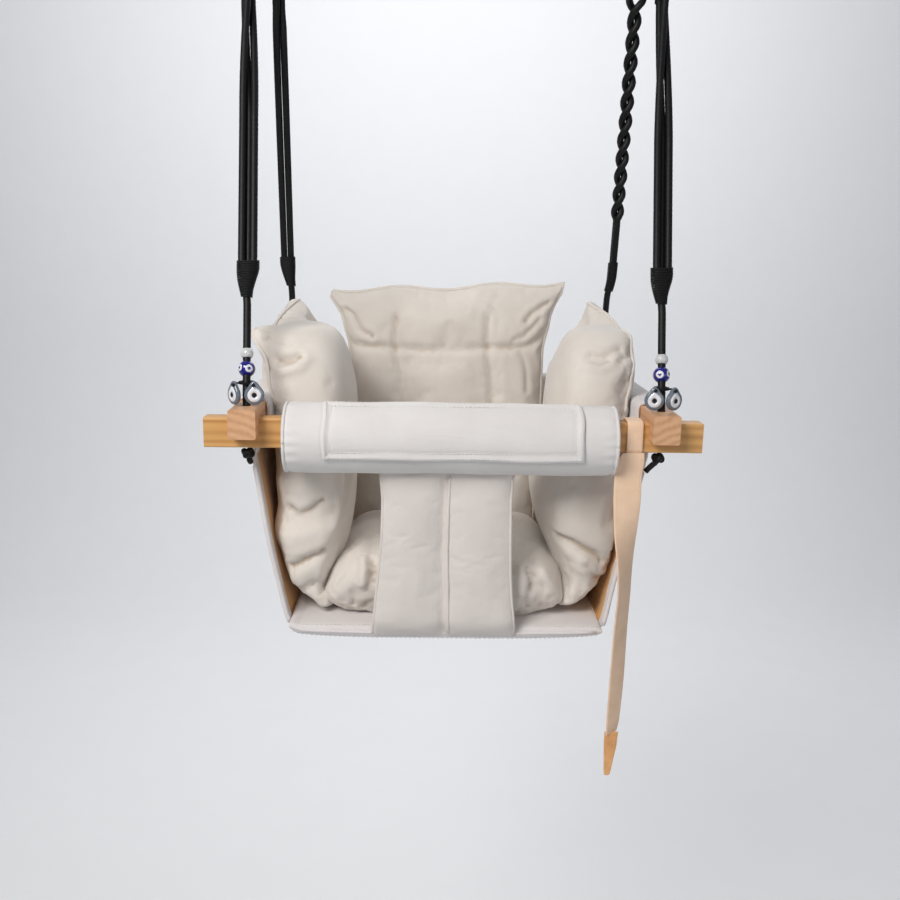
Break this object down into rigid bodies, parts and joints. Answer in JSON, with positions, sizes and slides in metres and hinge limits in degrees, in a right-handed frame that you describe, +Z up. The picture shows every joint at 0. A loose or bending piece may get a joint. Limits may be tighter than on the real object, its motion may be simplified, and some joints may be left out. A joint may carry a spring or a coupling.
{
  "type": "baby swing",
  "caption": "Hanging baby swing: timber frame on cords from ceiling rings, canvas sling, puffy quilted cushion, padded front guard and crotch panel, hanging leather strap and beads.",
  "frame": {"origin": "on the ceiling plane, at the centre of the four screw holes of the two ceiling plates", "axes": "+X to the right seen from the front, the front faces -Y, +Z up out of the ceiling plates' mounting faces"},
  "size_m": [0.5, 0.3968, 0.895],
  "materials": {
    "steel": "satin zinc-plated steel",
    "cord": "black laid polyester cord, slightly glossy",
    "thread": "black waxed thread",
    "cross_wood": "oiled hardwood, straight grain",
    "side_wood": "oiled hardwood with pinkish end grain",
    "guard_canvas": "tightly woven off-white canvas",
    "foam": "open-cell foam tube, hidden",
    "sling_canvas": "off-white heavy canvas",
    "board": "thin plywood, hidden",
    "cushion_fabric": "off-white brushed cotton, soft sheen",
    "strap_leather": "tan vegetable-tanned leather",
    "tip_leather": "darker orange-brown leather",
    "clear_glass": "milky clear glass",
    "blue_glass": "opaque cobalt glass, glossy",
    "eye_glass": null
  },
  "bodies": {
    "ceiling": {"left_ceiling_plate": "steel", "right_ceiling_plate": "steel"},
    "seat": {"left_ring": "steel", "right_ring": "steel", "front_left_cord": "cord", "front_right_cord": "cord", "rear_left_cord": "cord", "rear_right_cord": "cord", "front_left_whipping": "thread", "front_right_whipping": "thread", "rear_left_whipping": "thread", "rear_right_whipping": "thread", "front_left_knot": "cord", "front_right_knot": "cord", "rear_left_knot": "cord", "rear_right_knot": "cord", "front_bar": "cross_wood", "rear_bar": "cross_wood", "left_side_bar": "side_wood", "right_side_bar": "side_wood", "guard_cover": "guard_canvas", "guard_padding": "foam", "guard_patch": "guard_canvas", "crotch_panel": "guard_canvas", "sling_left_side": "sling_canvas", "sling_right_side": "sling_canvas", "sling_back": "sling_canvas", "sling_base": "sling_canvas", "base_board": "board", "seat_cushion": "cushion_fabric", "back_cushion": "cushion_fabric", "headrest_cushion": "cushion_fabric", "left_wing_cushion": "cushion_fabric", "right_wing_cushion": "cushion_fabric", "strap_loop": "strap_leather"},
    "strap": {"strap_tail": "strap_leather", "strap_tip": "tip_leather"},
    "left_white_bead": {"left_white_bead": "clear_glass"},
    "left_blue_bead": {"left_blue_bead": "blue_glass"},
    "left_eye_pair": {"left_eye_thread": "thread", "left_inner_eye_bead": "eye_glass", "left_outer_eye_bead": "eye_glass"},
    "right_white_bead": {"right_white_bead": "clear_glass"},
    "right_blue_bead": {"right_blue_bead": "blue_glass"},
    "right_eye_pair": {"right_eye_thread": "thread", "right_inner_eye_bead": "eye_glass", "right_outer_eye_bead": "eye_glass"}
  },
  "joints": [
    {"name": "swing", "type": "hinge", "parent": "ceiling", "child": "seat", "pos_m": [0, 0, -0.026], "axis": [1, 0, 0], "range_deg": [-40, 40]},
    {"name": "strap_swing", "type": "hinge", "parent": "seat", "child": "strap", "pos_m": [0.1798, -0.1797, -0.54], "axis": [1, 0, 0], "range_deg": [-75, 4]},
    {"name": "left_white_bead_spin", "type": "hinge", "parent": "seat", "child": "left_white_bead", "pos_m": [-0.21022, -0.14603, -0.449], "axis": [-0.0322, 0.3545, 0.9345], "continuous": true},
    {"name": "left_blue_bead_spin", "type": "hinge", "parent": "seat", "child": "left_blue_bead", "pos_m": [-0.20971, -0.15172, -0.464], "axis": [-0.0322, 0.3545, 0.9345], "continuous": true},
    {"name": "left_eye_pair_turn", "type": "hinge", "parent": "seat", "child": "left_eye_pair", "pos_m": [-0.20926, -0.1568, -0.477], "axis": [0, 0, 1], "range_deg": [-20, 20]},
    {"name": "right_white_bead_spin", "type": "hinge", "parent": "seat", "child": "right_white_bead", "pos_m": [0.21022, -0.14603, -0.449], "axis": [0.0322, 0.3545, 0.9345], "continuous": true},
    {"name": "right_blue_bead_spin", "type": "hinge", "parent": "seat", "child": "right_blue_bead", "pos_m": [0.20971, -0.15172, -0.464], "axis": [0.0322, 0.3545, 0.9345], "continuous": true},
    {"name": "right_eye_pair_turn", "type": "hinge", "parent": "seat", "child": "right_eye_pair", "pos_m": [0.20926, -0.1568, -0.477], "axis": [0, 0, 1], "range_deg": [-20, 20]}
  ]
}
